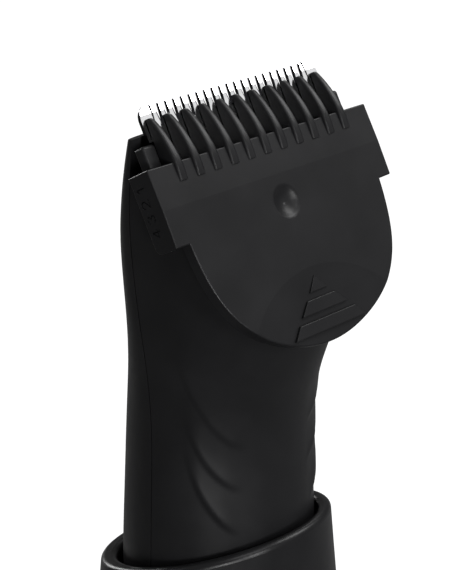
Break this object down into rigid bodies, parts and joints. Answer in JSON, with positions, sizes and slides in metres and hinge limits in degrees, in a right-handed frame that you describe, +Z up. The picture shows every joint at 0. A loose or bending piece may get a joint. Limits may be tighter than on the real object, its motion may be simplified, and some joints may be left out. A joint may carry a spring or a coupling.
{
  "type": "body groomer",
  "caption": "Cordless body groomer with a wide steel blade under a sliding guard comb, standing in a weighted charging dock with a slanted rim.",
  "frame": {"origin": "centre of the underside of the dock's rubber pad, below the handle's axis", "axes": "+Z up along the handle; the skin side with the comb plate faces -Y, the thumb side with the power button faces +Y; +X is to the right when looking at the skin side"},
  "size_m": [0.066, 0.0634, 0.1479],
  "materials": {
    "shell_black": "fine spark-eroded grain, satin black",
    "comb_black": "fine matt grain, black",
    "base_black": "moulded black",
    "dock_black": "satin black with a softly polished rim",
    "rubber_black": "matt elastomer",
    "button_grey": "soft-touch dark grey",
    "bezel_metal": "anodised, satin",
    "lens_white": "clear-white light pipe",
    "blade_steel": "ground and polished",
    "spring_steel": "drawn wire",
    "screw_steel": "zinc plated",
    "motor_steel": "drawn steel can",
    "nylon_white": "natural nylon",
    "carrier_grey": "acetal, dark grey",
    "chassis_grey": "moulded dark grey",
    "battery_wrap": "blue shrink sleeve",
    "tab_nickel": "nickel strip",
    "board_green": "solder resist",
    "switch_black": "moulded",
    "contact_gold": "gold flash on brass",
    "socket_steel": "stamped, nickel plated",
    "weight_iron": "as cast"
  },
  "bodies": {
    "dock": {"dock_base_plate": "dock_black", "dock_circuit_board": "board_green", "dock_contact_pins": "contact_gold", "dock_cup": "dock_black", "dock_foot_pad": "rubber_black", "dock_housing": "dock_black", "dock_screws": "screw_steel", "dock_usb_socket": "socket_steel", "dock_weight": "weight_iron"},
    "comb": {"guard_comb": "comb_black"},
    "cutter": {"moving_blade": "blade_steel", "cutter_carrier": "carrier_grey"},
    "rotor": {"motor_shaft": "spring_steel", "eccentric_cam": "nylon_white"},
    "button": {"power_button": "button_grey"},
    "handle": {"battery": "battery_wrap", "battery_tabs": "tab_nickel", "blade_base": "base_black", "blade_screws": "screw_steel", "blade_spring": "spring_steel", "bottom_cap": "shell_black", "bottom_seal": "rubber_black", "button_bezel": "bezel_metal", "charging_contacts": "contact_gold", "chassis": "chassis_grey", "circuit_board": "board_green", "fixed_blade": "blade_steel", "front_shell": "shell_black", "led_lens": "lens_white", "motor_can": "motor_steel", "motor_end_cap": "nylon_white", "motor_screws": "screw_steel", "motor_terminals": "contact_gold", "rear_shell": "shell_black", "shaft_seal": "rubber_black", "shell_screws": "screw_steel", "tactile_switch": "switch_black"}
  },
  "joints": [
    {"name": "lift_out", "type": "slide", "parent": "dock", "child": "handle", "axis": [0, 0, 1], "range_m": [0, 0.08]},
    {"name": "comb_slide", "type": "slide", "parent": "handle", "child": "comb", "axis": [0, 0.5, 0.866], "range_m": [0, 0.00675]},
    {"name": "cutter_slide", "type": "slide", "parent": "handle", "child": "cutter", "axis": [1, 0, 0], "range_m": [-0.0008, 0.0008]},
    {"name": "motor_spin", "type": "hinge", "parent": "handle", "child": "rotor", "pos_m": [0, -0.003, 0.12], "axis": [0, 0, 1], "continuous": true},
    {"name": "button_press", "type": "slide", "parent": "handle", "child": "button", "axis": [0, -1, 0], "range_m": [0, 0.0005], "stiffness_N_per_m": 400}
  ]
}
